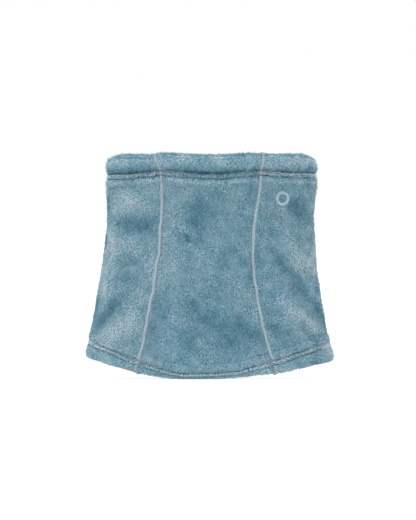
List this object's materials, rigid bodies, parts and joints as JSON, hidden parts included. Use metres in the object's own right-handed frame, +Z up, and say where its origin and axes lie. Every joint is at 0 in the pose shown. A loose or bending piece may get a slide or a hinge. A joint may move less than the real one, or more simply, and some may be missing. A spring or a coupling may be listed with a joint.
{
  "type": "neck gaiter",
  "caption": "Flared fleece neck tube with princess seams, turned and twin-stitched hems and a small plain embroidered ring, worn over the neck for skiing.",
  "frame": {"origin": "on the resting plane, under the middle of the tube", "axes": "+Z up along the neck, from the flared skirt to the collar; the front faces -Y; +X is the viewer's right, looking at the front"},
  "size_m": [0.2726, 0.1596, 0.2507],
  "materials": {
    "fleece": "high-pile plush fleece, matte, mottled nap",
    "seam_thread": "satin covering threads of a flat seam, pale grey-lilac",
    "hem_thread": "fine polyester sewing thread, tone on tone",
    "embroidery": "dense satin stitch, tone on tone",
    "label": "plain woven satin tape, blank"
  },
  "bodies": {
    "root": {"front_panel": "fleece", "back_panel": "fleece", "left_side_panel": "fleece", "right_side_panel": "fleece", "front_left_seam_cover": "seam_thread", "front_right_seam_cover": "seam_thread", "back_left_seam_cover": "seam_thread", "back_right_seam_cover": "seam_thread", "front_left_inner_seam_thread": "seam_thread", "front_right_inner_seam_thread": "seam_thread", "back_left_inner_seam_thread": "seam_thread", "back_right_inner_seam_thread": "seam_thread", "collar_hem_upper_needle_thread": "hem_thread", "collar_hem_lower_needle_thread": "hem_thread", "collar_hem_looper_thread": "hem_thread", "skirt_hem_upper_needle_thread": "hem_thread", "skirt_hem_lower_needle_thread": "hem_thread", "skirt_hem_looper_thread": "hem_thread", "embroidered_ring": "embroidery", "care_label": "label"}
  },
  "joints": []
}
